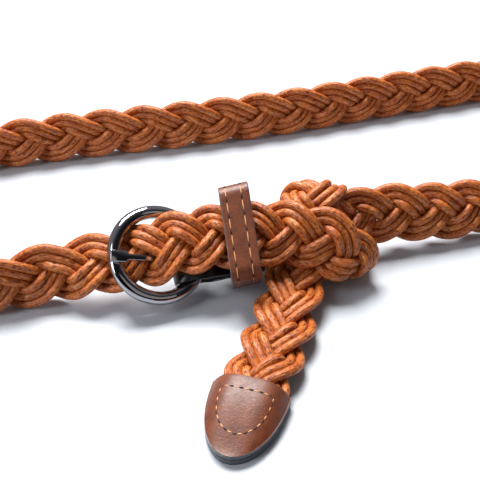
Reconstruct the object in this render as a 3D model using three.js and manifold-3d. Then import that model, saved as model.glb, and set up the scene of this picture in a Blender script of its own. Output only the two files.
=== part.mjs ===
// A braided cord belt, fastened and knotted: nine round cotton cords plaited as three strands of
// three, a metal ring with a prong, a folded leather tab, a leather keeper and a leather tip.
// It stands on its edge as a closed loop. In the frame that it is drawn in, the front strap runs
// along X from the ring, which is near the origin, +Y is the back and Z is up. Lengths are in mm.
import * as THREE from "three";
import { mergeVertices } from "three/addons/utils/BufferGeometryUtils.js";
import Module from "manifold-3d";

const wasm = await Module();
wasm.setup();

// Cords and braid
const cordSize = 2.9;
const braidWidth = 20.5;
const swing = 5.0;
const longLay = 50;
const shortLay = 36;
const strandClearance = 0.68;

// Loop of the strap
const sideLength = 300;
const loopDepth = 87;
const sideStart = -60;

// Ring, prong and leather
const frontLean = THREE.MathUtils.degToRad(50);
const strapLean = THREE.MathUtils.degToRad(24);
const ringSize = 34;
const wireSize = 4.6;
const ringMiddle = [1.2, 0, 15.7];
const ringTurn = THREE.MathUtils.degToRad(10);
const fitGap = 0.3;
const leather = 1.6;

const cordsPerStrand = 3;
const strandCount = 3;
const stepsPerLay = 24;
const firstStep = 2;
const ringRadius = (ringSize - wireSize) / 2;
const bendRadius = loopDepth / 2;
const standHeight = braidWidth / 2;
const cordRadius = cordSize / 2;

// A point given in the leaning frame of the buckle: along the strap, back from the ring's plane
// and up that plane.
function leaned(along, back, up) {
  const y = back * Math.cos(frontLean) + up * Math.sin(frontLean);
  const z = up * Math.cos(frontLean) - back * Math.sin(frontLean);
  return [ringMiddle[0] + along, ringMiddle[1] + y, ringMiddle[2] + z];
}

// Braid

// How two cords that touch move apart: the sum of the moves and their number are kept for each point.
function touch(move, p, q, ahead) {
  const dx = p[0] - q[0];
  const dy = p[1] - q[1] - ahead;
  const dz = p[2] - q[2];
  const square = dx * dx + dy * dy + dz * dz;
  if (square >= cordSize * cordSize) return;
  const distance = Math.max(Math.sqrt(square), 0.01);
  const share = (cordSize - distance) / distance;
  move[0] += dx * share;
  move[1] += dy * share;
  move[2] += dz * share;
  move[3] += 1;
}

function applyMoves(points, moves) {
  points.forEach((p, i) => {
    const share = 0.5 / Math.max(moves[i][3], 1);
    for (let axis = 0; axis < 3; axis += 1) p[axis] += moves[i][axis] * share;
  });
}

// Pulls a cord a little to where it was laid and evens out its bends. A cord of one lay goes on
// into its next copy, one lay ahead, and an open cord keeps its two end points.
function ease(cord, laid, lay, pull, stiffness) {
  const count = cord.length;
  cord.forEach((p, i) => {
    for (let axis = 0; axis < 3; axis += 1) p[axis] += pull * (laid[i][axis] - p[axis]);
  });
  const at = (i) => {
    if (lay === null) return cord[Math.min(Math.max(i, 0), count - 1)];
    const turns = Math.floor(i / count);
    const p = cord[i - turns * count];
    return [p[0], p[1] + turns * lay, p[2]];
  };
  const bend = (i) => {
    const [before, here, after] = [at(i - 1), at(i), at(i + 1)];
    return here.map((value, axis) => (before[axis] + after[axis]) / 2 - value);
  };
  const bends = cord.map((_, i) => bend(i));
  const wrapped = (i) => bends[(i + count) % count];
  cord.forEach((p, i) => {
    if (lay === null && (i < 2 || i > count - 3)) return;
    for (let axis = 0; axis < 3; axis += 1) {
      const near = (wrapped(i - 1)[axis] + wrapped(i + 1)[axis]) / 2;
      p[axis] -= stiffness * (near - bends[i][axis]);
    }
  });
}

// The resting shape over one lay of the three cords of a strand: where nine touching cords settle.
// x is across the belt, y along it and z through it. The other strands are copies a third ahead.
function braidCell(lay) {
  const turn = (2 * Math.PI) / lay;
  const lift = 1.1 * cordSize;
  const rounds = 260;
  const steepest = Math.atan(swing * turn);
  const lag = (turn * Math.cos(steepest)) / Math.tan(2 * steepest);
  const laid = [];
  for (let place = 0; place < cordsPerStrand; place += 1) {
    const side = (place - 1) * cordSize;
    const cord = [];
    for (let i = 0; i < stepsPerLay; i += 1) {
      const angle = (2 * Math.PI * i) / stepsPerLay;
      const slope = Math.atan(swing * turn * Math.cos(angle));
      const late = angle + lag * side * Math.cos(angle);
      const x = swing * Math.sin(angle) + side * Math.cos(slope);
      const y = angle / turn - side * Math.sin(slope);
      cord.push([x, y, lift * (Math.sin(2 * late) + 0.3 * Math.sin(4 * late))]);
    }
    laid.push(cord);
  }
  const cell = laid.map((cord) => cord.map((p) => [...p]));
  for (let round = 0; round < rounds; round += 1) {
    cell.forEach((cord, place) => ease(cord, laid[place], lay, 0.01, 0.25));
    const points = cell.flat();
    const moves = points.map(() => [0, 0, 0, 0]);
    for (let shift = -4; shift <= 4; shift += 1) {
      const ahead = (shift * lay) / strandCount;
      for (let i = 0; i < points.length; i += 1) {
        for (let j = 0; j < points.length; j += 1) {
          const sameCord = Math.floor(i / stepsPerLay) === Math.floor(j / stepsPerLay);
          if (!sameCord || shift % strandCount !== 0) touch(moves[i], points[i], points[j], ahead);
        }
      }
    }
    applyMoves(points, moves);
  }
  return cell.map((cord) => cord.map((p, i) => [p[0], p[1] - (lay * i) / stepsPerLay, p[2]]));
}

// Route of the belt, from the tab round the loop to the tip

// Each row is a station: where the middle of the braid is, the direction of its width, its lay, and
// its width and thickness against the plain braid's. Lengths near the knot and along the free end
// are shares of the braid's width.
const leaning = [0, Math.sin(frontLean), Math.cos(frontLean)];
const rising = [0, Math.sin(strapLean), Math.cos(strapLean)];
const standing = [0, 0.12, 1];

const knotEnd = [
  [1.9, 0.082, 0.631, leaning, 40, 0.86, 0.66],
  [2.25, 0.12, 0.67, [0, 0.6, 0.8], 42, 0.86, 0.76],
  [2.68, 0.06, 0.72, rising, 42, 0.84, 0.84],
  [3.3, 0.02, 0.72, rising, 43, 0.92, 0.94],
  [4.05, 0.0, 0.7, rising, 43, 1, 1],
  [4.9, -0.11, 0.62, rising, 43, 1, 1],
  [5.65, -0.16, 0.56, rising, 43, 1, 1],
];

const freeEnd = [
  [-1.27, 0.26, 0.63, leaning, 48, 1, 1],
  [-0.73, 0.19, 0.66, leaning, 46, 1, 1],
  [0, -0.01, 0.9, leaning, 40, 1, 1],
  [0.68, -0.16, 1.05, leaning, 38, 1, 1],
  [1.22, -0.2, 1.03, leaning, 38, 1, 1],
  [1.8, -0.3, 1.02, leaning, 38, 1, 1],
  [2.42, -0.55, 1.0, [0.1, 0.39, 0.92], 38, 1.04, 0.94],
  [2.88, -0.76, 0.83, [0.55, 0.3, 0.77], 38, 1, 0.9],
  [3.1, -0.9, 0.48, [0.96, 0.1, 0.2], 38, 0.96, 0.84],
  [3.14, -0.64, 0.21, [1, 0, 0], 38, 0.92, 0.8],
  [2.98, -0.12, 0.2, [1, 0, 0], 38, 0.92, 0.78],
  [2.92, 0.34, 0.44, [1, 0, 0], 38, 0.94, 0.8],
  [2.86, 0.5, 0.86, [1, 0, 0], 38, 0.98, 0.84],
  [2.88, 0.3, 1.26, [1, 0, 0], 38, 1.1, 0.92],
  [2.7, -0.1, 1.23, [1, 0, 0], 38, 1.04, 0.86],
  [2.48, -0.32, 0.8, [1, 0, 0], 42, 0.88, 0.78],
  [2.23, -0.68, 0.38, [0.94, -0.3, 0.1], 46, 0.9, 0.86],
  [1.82, -1.3, 0.25, [0.83, -0.55, 0], 45, 1.04, 0.98],
  [1.39, -1.97, 0.235, [0.82, -0.57, 0], 44, 1.1, 0.96],
  [0.93, -2.5, 0.23, [0.82, -0.57, 0], 42, 1.0, 0.8],
  [0.62, -2.87, 0.235, [0.82, -0.57, 0], 40, 0.78, 0.54],
];

// The plain loop between them, by the sizes of the strap.
function loopRows() {
  const sideEnd = sideStart + sideLength;
  const sway = 0.11 * loopDepth;
  const frontPlace = 0.09 * loopDepth;
  const across = [0, 0, 1];
  const rows = [];
  rows.push([sideStart + 0.8 * sideLength, -0.03 * loopDepth, standHeight, across, 46, 1, 1]);
  const bendSteps = 6;
  for (let i = 0; i <= bendSteps; i += 1) {
    const angle = (Math.PI * i) / bendSteps;
    const x = sideEnd + bendRadius * Math.sin(angle);
    const y = bendRadius * (1 - Math.cos(angle));
    rows.push([x, y, standHeight, across, 48, 1, 1]);
  }
  const backStations = [
    [0.87, 0],
    [0.73, 0],
    [0.59, 0],
    [0.45, 0],
    [0.3, 0.35],
    [0.15, 0.85],
  ];
  for (const [share, swayed] of backStations) {
    const y = loopDepth + swayed * sway;
    rows.push([sideStart + share * sideLength, y, standHeight, standing, 50, 1, 1]);
  }
  const leftRadius = (loopDepth + sway - frontPlace) / 2;
  for (let i = 0; i <= bendSteps; i += 1) {
    const angle = (Math.PI * i) / bendSteps;
    const x = sideStart - leftRadius * Math.sin(angle);
    const y = frontPlace + leftRadius * (1 + Math.cos(angle));
    rows.push([x, y, standHeight, across, 48, 1, 1]);
  }
  rows.push([sideStart + 0.085 * sideLength, 0.95 * frontPlace, 1.05 * standHeight, rising, 48, 1, 1]);
  return rows;
}

function inWidths(rows) {
  return rows.map(([x, y, z, ...rest]) => [x * braidWidth, y * braidWidth, z * braidWidth, ...rest]);
}

function smoothThrough(triples) {
  const points = triples.map((triple) => new THREE.Vector3(...triple));
  return new THREE.CatmullRomCurve3(points, false, "catmullrom", 0.5);
}

// The whole route as even samples: middle, width direction, thickness direction, scales, length so
// far and turns of the braid so far.
function layRoute() {
  const rows = [...inWidths(knotEnd), ...loopRows(), ...inWidths(freeEnd)];
  const middle = smoothThrough(rows.map((row) => row.slice(0, 3)));
  const width = smoothThrough(rows.map((row) => row[3]));
  const form = smoothThrough(rows.map((row) => row.slice(4)));
  const samplesPerRow = 24;
  const total = (rows.length - 1) * samplesPerRow;
  const samples = [];
  let length = 0;
  let turns = 0;
  for (let i = 0; i <= total; i += 1) {
    const place = middle.getPoint(i / total);
    const tangent = middle.getTangent(i / total);
    const side = width.getPoint(i / total);
    side.addScaledVector(tangent, -side.dot(tangent)).normalize();
    const through = new THREE.Vector3().crossVectors(side, tangent);
    const [lay, wide, thick] = form.getPoint(i / total).toArray();
    if (i > 0) {
      const step = place.distanceTo(samples[i - 1].place);
      length += step;
      turns += step / ((lay + samples[i - 1].lay) / 2);
    }
    samples.push({ place, side, through, lay, wide, thick, length, turns });
  }
  return samples;
}

// Reads the samples at a value of one of their growing fields.
function sampleAt(samples, field, value) {
  let low = 0;
  let high = samples.length - 1;
  while (high - low > 1) {
    const half = Math.floor((low + high) / 2);
    if (samples[half][field] > value) high = half;
    else low = half;
  }
  const a = samples[low];
  const b = samples[high];
  const share = (value - a[field]) / (b[field] - a[field]);
  const mix = (name) => a[name] + (b[name] - a[name]) * share;
  const mixVector = (name) => a[name].clone().lerp(b[name], share);
  return {
    place: mixVector("place"),
    side: mixVector("side").normalize(),
    through: mixVector("through").normalize(),
    lay: mix("lay"),
    wide: mix("wide"),
    thick: mix("thick"),
    length: mix("length"),
  };
}

// Lays the nine cords along the route: cords[strand * 3 + place] is a list of points.
function layCords(samples) {
  const longCell = braidCell(longLay);
  const shortCell = braidCell(shortLay);
  const last = samples[samples.length - 1];
  const steps = Math.floor(last.turns * stepsPerLay);
  const cords = [];
  for (let strand = 0; strand < strandCount; strand += 1) {
    for (let place = 0; place < cordsPerStrand; place += 1) {
      const cord = [];
      for (let i = 0; i <= steps; i += 1) {
        const here = sampleAt(samples, "turns", i / stepsPerLay);
        const step = (i + firstStep + (strand * stepsPerLay) / strandCount) % stepsPerLay;
        const share = (here.lay - shortLay) / (longLay - shortLay);
        const a = shortCell[place][step];
        const b = longCell[place][step];
        const [x, y, z] = a.map((value, axis) => value + (b[axis] - value) * share);
        const there = sampleAt(samples, "length", Math.min(Math.max(here.length + y, 0), last.length));
        const point = there.place.clone();
        point.addScaledVector(there.side, x * there.wide);
        point.addScaledVector(there.through, z * there.thick);
        point.z = Math.max(point.z, cordRadius);
        cord.push(point.toArray());
      }
      cords.push(cord);
    }
  }
  return cords;
}

// What stops the cords: the floor, the ring, the prong and the tip

const tipLength = 24.6;
const tipWidth = 23.8;
const tipBase = 1.8;
const tipRise = 5.5;
const tipMouth = [15.6, -55.2];
const tipHeading = [-0.57, -0.82];

function tipHalfWidth(share) {
  return (tipWidth / 2) * Math.sqrt(Math.max(1 - share ** 2.2, 0.01));
}

// How far the upper layer of the tip is raised, from its mouth (share 0) to its point, and from its
// middle (side 0) to its edges.
function tipDome(share, side) {
  const across = Math.max(0, 1 - Math.abs(side / 0.94) ** 4);
  return across * Math.max(0, 1 - share ** 2) ** 1.5;
}

function inTip(p) {
  const [x, y] = [p[0] - tipMouth[0], p[1] - tipMouth[1]];
  return [x * tipHeading[0] + y * tipHeading[1], -x * tipHeading[1] + y * tipHeading[0]];
}

function dot(a, b) {
  return a[0] * b[0] + a[1] * b[1] + a[2] * b[2];
}

const wireBack = ringRadius * Math.sin(ringTurn);
const wireAlong = ringRadius * Math.cos(ringTurn);
const prongThick = 1.8;
const prongLevel = -1.7;
const prongSlope = THREE.MathUtils.degToRad(11);
const prongBack = wireSize / 2 + fitGap + 0.1 + prongThick / 2;
const prongRoot = [wireAlong - prongBack, wireBack, prongLevel];
const prongTip = [-wireAlong - 1.6, -wireBack - prongBack - 0.8, prongLevel];

// A point of the prong, which slopes down from its tip to its eye in the ring's plane.
function prongPlace(along, back, level) {
  const [cosine, sine] = [Math.cos(prongSlope), Math.sin(prongSlope)];
  return leaned(along * cosine + level * sine, back, level * cosine - along * sine);
}

const ringEnd = leaned(Math.cos(ringTurn), Math.sin(ringTurn), 0);
const ringAcross = ringEnd.map((value, axis) => value - ringMiddle[axis]);
const shaftStart = prongPlace(...prongTip);
const shaft = prongPlace(...prongRoot).map((value, axis) => value - shaftStart[axis]);

function moveClear(p, nearest, radius) {
  const away = p.map((value, axis) => value - nearest[axis]);
  const distance = Math.max(Math.hypot(...away), 0.01);
  const short = radius + fitGap + cordRadius - distance;
  if (short <= 0) return;
  away.forEach((value, axis) => {
    p[axis] += (value * short) / distance;
  });
}

function keepOut(p) {
  p[2] = Math.max(p[2], cordRadius);
  const [along, side] = inTip(p);
  if (along > -3) {
    const share = Math.min(Math.max(along / tipLength, 0), 1);
    const lowest = tipBase + fitGap + cordRadius;
    const highest = tipBase + tipRise * tipDome(share, side / tipHalfWidth(share)) - cordRadius - fitGap;
    p[2] = Math.max(Math.min(p[2], highest), lowest);
  }
  const from = p.map((value, axis) => value - ringMiddle[axis]);
  const a = dot(from, ringAcross);
  const b = dot(from, leaning);
  const far = Math.max(Math.hypot(a, b), 0.01);
  const onWire = (axis) => (ringRadius * (ringAcross[axis] * a + leaning[axis] * b)) / far;
  const nearest = ringMiddle.map((value, axis) => value + onWire(axis));
  moveClear(p, nearest, wireSize / 2);
  const reached = dot(p, shaft) - dot(shaftStart, shaft);
  const share = Math.min(Math.max(reached / dot(shaft, shaft), 0), 1);
  moveClear(p, shaft.map((value, axis) => shaftStart[axis] + value * share), prongThick / 2);
}

// The pairs of points near enough to touch during the next rounds. A cord's own next points don't
// count.
function nearPairs(points, owner) {
  const reach = 1.5 * cordSize;
  const nextPoints = 5;
  const pairs = [];
  for (let i = 0; i < points.length; i += 1) {
    for (let j = i + 1; j < points.length; j += 1) {
      if (Math.abs(points[i][0] - points[j][0]) > reach) continue;
      if (owner[i] === owner[j] && j - i <= nextPoints) continue;
      const offset = points[i].map((value, axis) => value - points[j][axis]);
      if (Math.hypot(...offset) < reach) pairs.push([i, j]);
    }
  }
  return pairs;
}

// Lets the cords of the knot and of the free end settle against each other and against what stops
// them. The rest of the loop stays as it was laid.
function settle(cords) {
  const rounds = 160;
  const pairRounds = 12;
  const knotReach = 4.2 * braidWidth;
  const freeStart = -1.6 * braidWidth;
  const half = Math.floor(cords[0].length / 2);
  const knotLast = cords[0].findIndex((p) => p[0] > knotReach);
  const freeFirst = cords[0].findIndex((p, i) => i > half && p[0] > freeStart && p[1] < braidWidth);
  const runs = cords.flatMap((cord) => [cord.slice(0, knotLast), cord.slice(freeFirst)]);
  const laid = runs.map((run) => run.map((p) => [...p]));
  const points = runs.flat();
  const owner = runs.flatMap((run, index) => run.map(() => index));
  let pairs = [];
  for (let round = 0; round < rounds; round += 1) {
    if (round % pairRounds === 0) pairs = nearPairs(points, owner);
    runs.forEach((run, index) => ease(run, laid[index], null, 0.015, 0.45));
    const moves = points.map(() => [0, 0, 0, 0]);
    pairs.forEach(([i, j]) => {
      touch(moves[i], points[i], points[j], 0);
      touch(moves[j], points[j], points[i], 0);
    });
    applyMoves(points, moves);
    points.forEach(keepOut);
  }
}

// Solids

// A closed solid through rings of points. A ring's points are in pairs, first with last and so on
// inwards, and the ends are closed between the pairs.
function loft(rings) {
  const size = rings[0].length;
  const faces = [];
  for (let i = 0; i + 1 < rings.length; i += 1) {
    for (let j = 0; j < size; j += 1) {
      const k = (j + 1) % size;
      const [a, b] = [i * size + j, i * size + k];
      faces.push(a, b, b + size, a, b + size, a + size);
    }
  }
  const last = (rings.length - 1) * size;
  for (let j = 0; j < size / 2 - 1; j += 1) {
    const [a, b, c, d] = [j, j + 1, size - 2 - j, size - 1 - j];
    faces.push(a, c, b, a, d, c);
    faces.push(last + a, last + b, last + c, last + a, last + c, last + d);
  }
  const geometry = new THREE.BufferGeometry();
  geometry.setAttribute("position", new THREE.Float32BufferAttribute(rings.flat(2), 3));
  geometry.setIndex(faces);
  return geometry;
}

// Moves every corner of a shape by a function of its place.
function reshape(geometry, place) {
  const position = geometry.attributes.position;
  for (let i = 0; i < position.count; i += 1) {
    position.setXYZ(i, ...place(position.getX(i), position.getY(i), position.getZ(i)));
  }
  return geometry;
}

function toSolid(geometry) {
  const plain = geometry.clone();
  plain.deleteAttribute("normal");
  plain.deleteAttribute("uv");
  const merged = mergeVertices(plain, 1e-4);
  const vertProperties = new Float32Array(merged.attributes.position.array);
  const triVerts = new Uint32Array(merged.index.array);
  return new wasm.Manifold(new wasm.Mesh({ numProp: 3, vertProperties, triVerts }));
}

function toGeometry(solid) {
  const mesh = solid.getMesh();
  const geometry = new THREE.BufferGeometry();
  geometry.setAttribute("position", new THREE.Float32BufferAttribute(mesh.vertProperties, 3));
  geometry.setIndex([...mesh.triVerts]);
  return geometry;
}

// A strand as one solid round its three cords, a little thinner than they are and pressed flatter
// in the tip.
function strandSolid(cords) {
  const every = 2;
  const reach = cordRadius - strandClearance;
  const pressed = 0.5;
  const pressedFrom = -8;
  const rings = [];
  for (let i = every; i + every < cords[0].length; i += every) {
    const [left, middle, right] = cords.map((cord) => new THREE.Vector3(...cord[i]));
    const ahead = new THREE.Vector3(...cords[1][i + 1]).sub(new THREE.Vector3(...cords[1][i - 1]));
    ahead.normalize();
    const across = right.clone().sub(left);
    across.addScaledVector(ahead, -across.dot(ahead)).normalize();
    const through = new THREE.Vector3().crossVectors(ahead, across);
    const press = inTip(cords[1][i])[0] > pressedFrom ? pressed : 1;
    const corner = (point, side, rise) => {
      const moved = point.clone().addScaledVector(across, side * reach);
      return moved.addScaledVector(through, rise * reach * press).toArray();
    };
    rings.push([
      corner(left, -0.75, 0.66),
      corner(left, -0.75, -0.66),
      corner(middle, 0, -1),
      corner(right, 0.75, -0.66),
      corner(right, 0.75, 0.66),
      corner(middle, 0, 1),
    ]);
  }
  return loft(rings);
}

// A strip of leather on edge: its middle line seen along its width, with round turns, given as
// points, becomes an outline of the leather's thickness.
function stripShape(line) {
  const offset = (point, i, side) => {
    const before = line[Math.max(i - 1, 0)];
    const after = line[Math.min(i + 1, line.length - 1)];
    const [dx, dy] = [after[0] - before[0], after[1] - before[1]];
    const length = Math.hypot(dx, dy);
    const half = (side * leather) / 2;
    return new THREE.Vector2(point[0] - (half * dy) / length, point[1] + (half * dx) / length);
  };
  const one = line.map((point, i) => offset(point, i, 1));
  const other = line.map((point, i) => offset(point, i, -1));
  return new THREE.Shape([...one, ...other.reverse()]);
}

function named(name, geometry, material) {
  const mesh = new THREE.Mesh(geometry, material);
  mesh.name = name;
  return mesh;
}

// Ring: a round wire, turned a little and leaning back.
function ring() {
  const geometry = new THREE.TorusGeometry(ringRadius, wireSize / 2, 10, 32);
  reshape(geometry, (x, y, z) => {
    const along = x * Math.cos(ringTurn) + z * Math.sin(ringTurn);
    const back = x * Math.sin(ringTurn) - z * Math.cos(ringTurn);
    return leaned(along, back, y);
  });
  return named("buckle_ring", geometry, metal);
}

// Prong: an eye round the right of the ring and a flat shaft to its left, with a block at the tip.
function prongSolid(room) {
  const eyeInner = prongBack - prongThick / 2;
  const eyeOuter = eyeInner + prongThick;
  const shaftHeight = 2;
  const tipHeight = 3.8;
  const blockLength = 5.5;
  const steps = 14;
  const eye = new THREE.Shape();
  eye.absarc(0, 0, eyeOuter, 0, 2 * Math.PI);
  const hole = new THREE.Path();
  hole.absarc(0, 0, eyeInner, 0, 2 * Math.PI);
  eye.holes.push(hole);
  const eyeSettings = { depth: shaftHeight, bevelEnabled: false, curveSegments: steps };
  const eyeGeometry = new THREE.ExtrudeGeometry(eye, eyeSettings);
  eyeGeometry.translate(wireAlong, wireBack, prongLevel - shaftHeight / 2);
  const length = Math.hypot(prongRoot[0] - prongTip[0], prongRoot[1] - prongTip[1]);
  const heading = Math.atan2(prongTip[1] - prongRoot[1], prongTip[0] - prongRoot[0]);
  const halves = [
    [-0.4, shaftHeight / 2 + room],
    [length - blockLength - 1, shaftHeight / 2 + room],
    [length - blockLength, tipHeight / 2 + room],
    [length + room, tipHeight / 2 + room],
  ];
  const lower = halves.map(([x, y]) => new THREE.Vector2(x, -y));
  const upper = halves.map(([x, y]) => new THREE.Vector2(x, y));
  const side = new THREE.Shape([...lower, ...upper.reverse()]);
  const thick = prongThick + 2 * room;
  const shaftGeometry = new THREE.ExtrudeGeometry(side, { depth: thick, bevelEnabled: false });
  shaftGeometry.translate(0, 0, -thick / 2);
  shaftGeometry.rotateX(Math.PI / 2);
  shaftGeometry.rotateZ(heading);
  shaftGeometry.translate(prongRoot[0], prongRoot[1], prongLevel);
  const joined = room > 0 ? toSolid(shaftGeometry) : toSolid(eyeGeometry).add(toSolid(shaftGeometry));
  return toSolid(reshape(toGeometry(joined), prongPlace));
}

function prong() {
  return named("prong", toGeometry(prongSolid(0)), metal);
}

// Tab: a strip of leather folded round the ring, sewn flat, then open round the end of the braid.
const tabHeight = 19.5;
const tabFoldHeight = 14.6;
const tabDrop = -2.65;
const tabFoldDrop = -3.8;
const tabBack = 1.5;
const tabReach = 5.3;
const tabReachStart = -3;
const tabCurl = THREE.MathUtils.degToRad(30);
const tabCurlStart = -2;
const tabCurlRadius = 19.9;
const tabFoldEnd = wireAlong + 9.5;
const tabSleeveStart = 35.4;
const tabCurlEnd = 5;
const tabSleeveRise = 3.6;

// How far a place of the tab is on the way from the ring to the end of its fold.
function tabShare(along) {
  return Math.min(Math.max((along - wireAlong) / (tabFoldEnd - wireAlong), 0), 1);
}

// A point of the tab, whose lower part curls to the front between the ring and the sleeve.
function tabPlace(along, behind, level) {
  const share = Math.min(tabShare(along), Math.max((tabSleeveStart - along) / tabCurlEnd, 0.001));
  const angle = share * Math.max(0, Math.min(tabCurl, (tabCurlStart - level) / tabCurlRadius));
  if (angle === 0) return leaned(along, tabBack + behind, level);
  const radius = tabCurlRadius / share;
  const back = tabBack - radius * (1 - Math.cos(angle)) + behind * Math.cos(angle);
  return leaned(along, back, tabCurlStart - (radius + behind) * Math.sin(angle));
}

function tab() {
  const foldRoom = 1.4;
  const seamGap = 0.2;
  const foldRadius = wireSize / 2 + fitGap + foldRoom + leather / 2;
  const sewn = (leather + seamGap) / 2;
  const [frontRoom, backRoom] = [2.7, 6.1];
  const [frontSleeve, backSleeve] = [frontRoom + leather / 2, backRoom + leather / 2];
  const sleeveEnd = tabSleeveStart + 4.6;
  const sleeveFull = tabSleeveStart + 2.4;
  const sleeveOpens = tabSleeveStart + 1.2;
  const turnSteps = 8;
  const [turnStart, turnSweep] = [-0.42 * Math.PI, -1.16 * Math.PI];
  const closingStart = 3.5;
  const turnEnd = wireAlong + foldRadius * Math.cos(turnStart);
  const turnOpen = -foldRadius * Math.sin(turnStart);
  const leftOpen = (x) => THREE.MathUtils.clamp((tabFoldEnd - x) / (tabFoldEnd - turnEnd), 0, 1);
  const closing = [tabFoldEnd - 6, tabFoldEnd - 3].map((x) => [x, sewn + (turnOpen - sewn) * leftOpen(x)]);
  const frontLeg = [
    [sleeveEnd, -frontSleeve],
    [sleeveFull, -frontSleeve],
    [sleeveOpens, -1.3],
    [tabSleeveStart, -sewn],
    [tabFoldEnd, -sewn],
    ...closing.map(([x, y]) => [x, -y]).reverse(),
  ];
  const backLeg = [
    ...closing,
    [tabFoldEnd, sewn],
    [tabSleeveStart, sewn],
    [sleeveOpens, 2.4],
    [sleeveFull, backSleeve],
    [sleeveEnd, backSleeve],
  ];
  const turn = [];
  for (let i = 0; i <= turnSteps; i += 1) {
    const angle = turnStart + (turnSweep * i) / turnSteps;
    const behind = wireBack - tabBack + foldRadius * Math.sin(angle);
    turn.push([wireAlong + foldRadius * Math.cos(angle), behind]);
  }
  const shape = stripShape([...frontLeg, ...turn, ...backLeg]);
  const geometry = new THREE.ExtrudeGeometry(shape, { depth: 1, bevelEnabled: false, steps: 6 });
  reshape(geometry, (x, y, z) => {
    const share = tabShare(x);
    const height = tabFoldHeight + (tabHeight - tabFoldHeight) * share;
    const rise = tabSleeveRise * (1 - z) * THREE.MathUtils.clamp((x - tabSleeveStart) / 2, 0, 1);
    const level = height * (z - 0.5) + tabFoldDrop + (tabDrop - tabFoldDrop) * share + rise;
    const low = THREE.MathUtils.smoothstep(tabReachStart - level, 0, 5);
    const reach = tabReach * (1 - share) * low;
    const closed = low * THREE.MathUtils.clamp((x - turnEnd - closingStart) / 3, 0, 1);
    const shut = Math.sign(y) * (turnOpen - sewn) * leftOpen(x) * closed;
    return [x - reach, y - shut - reach * Math.tan(ringTurn), level];
  });
  const slotHeight = 5.2;
  const slotLength = 4 * foldRadius;
  const slotEnd = wireAlong + 5.5;
  const slotLevel = prongLevel - 0.8 * wireAlong * Math.sin(prongSlope);
  const slot = new THREE.BoxGeometry(slotLength, slotLength, slotHeight);
  slot.translate(slotEnd - slotLength / 2, wireBack, slotLevel);
  const cut = toSolid(geometry).subtract(toSolid(slot));
  return named("tab", reshape(toGeometry(cut), tabPlace), darkLeather);
}

// Keeper: a closed loop of leather round the free end and the tab, turned a little.
const keeperWidth = 10;
const keeperHeight = 32.1;
const keeperDepth = 21.9;
const keeperStart = 22.8;
const keeperMiddle = -3.3;
const keeperBottom = -16.1;
const keeperWall = 1.8;
const keeperCorner = 4;
const keeperTurn = THREE.MathUtils.degToRad(11.8);
const keeperTilt = 0.094;

function keeperPlace(along, back, up) {
  const [cosine, sine] = [Math.cos(keeperTurn), Math.sin(keeperTurn)];
  const x = keeperStart + along * cosine + back * sine + up * keeperTilt;
  return leaned(x, keeperMiddle + back * cosine - along * sine, keeperBottom + keeperHeight / 2 + up);
}

function roundedLoop(width, height, radius) {
  const [a, b] = [width / 2, height / 2];
  const path = new THREE.Shape();
  path.absarc(a - radius, b - radius, radius, 0, Math.PI / 2);
  path.absarc(-a + radius, b - radius, radius, Math.PI / 2, Math.PI);
  path.absarc(-a + radius, -b + radius, radius, Math.PI, 1.5 * Math.PI);
  path.absarc(a - radius, -b + radius, radius, 1.5 * Math.PI, 2 * Math.PI);
  return path;
}

function keeper() {
  const outer = roundedLoop(keeperDepth, keeperHeight, keeperCorner);
  const innerCorner = keeperCorner - keeperWall;
  const inner = roundedLoop(keeperDepth - 2 * keeperWall, keeperHeight - 2 * keeperWall, innerCorner);
  outer.holes.push(inner);
  const settings = { depth: keeperWidth, bevelEnabled: false, curveSegments: 4 };
  const geometry = reshape(new THREE.ExtrudeGeometry(outer, settings), (x, y, z) => keeperPlace(z, x, y));
  return named("keeper_loop", geometry, brownLeather);
}

// Tip: two leather layers sewn together over the end of the braid, the upper one domed.
function tipSheet(name, lower, upper) {
  const rows = 9;
  const columns = 8;
  const grid = [];
  for (let i = 0; i <= rows; i += 1) {
    const share = Math.sin((0.5 * Math.PI * i) / rows);
    const ring = [];
    const point = (j, level) => {
      const side = -1 + (2 * j) / columns;
      const across = side * tipHalfWidth(share);
      const along = share * tipLength;
      const x = tipMouth[0] + tipHeading[0] * along - tipHeading[1] * across;
      const y = tipMouth[1] + tipHeading[1] * along + tipHeading[0] * across;
      return [x, y, level(share, side)];
    };
    for (let j = 0; j <= columns; j += 1) ring.push(point(j, lower));
    for (let j = columns; j >= 0; j -= 1) ring.push(point(j, upper));
    grid.push(ring);
  }
  return named(name, loft(grid), brownLeather);
}

const metal = new THREE.MeshStandardMaterial({ color: "#5a5a5e", roughness: 0.2, metalness: 1 });
const brownLeather = new THREE.MeshStandardMaterial({ color: "#80492f", roughness: 0.6 });
const darkLeather = new THREE.MeshStandardMaterial({ color: "#3a1a12", roughness: 0.5 });
const cotton = new THREE.MeshStandardMaterial({ color: "#b8652c", roughness: 0.7 });

const group = new THREE.Group();
const samples = layRoute();
const cords = layCords(samples);
settle(cords);
for (let strand = 0; strand < strandCount; strand += 1) {
  const own = cords.slice(cordsPerStrand * strand, cordsPerStrand * (strand + 1));
  const pierced = toSolid(strandSolid(own)).subtract(prongSolid(fitGap));
  group.add(named(`braid_strand_${strand + 1}`, toGeometry(pierced), cotton));
}
group.add(ring(), prong(), tab(), keeper());
group.add(tipSheet("tip_base", () => 0, () => tipBase));
const tipUnder = (share, side) => tipBase + fitGap + tipRise * tipDome(share, side);
group.add(tipSheet("tip_top", tipUnder, (share, side) => tipUnder(share, side) + leather));

// The origin is in the middle of the belt, on the surface that it stands on.
const bounds = new THREE.Box3().setFromObject(group);
const middle = bounds.getCenter(new THREE.Vector3());
const belt = new THREE.Group();
belt.name = "braided_belt";
group.position.set(-middle.x, -middle.y, -bounds.min.z);
belt.add(group);
belt.updateMatrixWorld(true);

export default belt;
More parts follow.
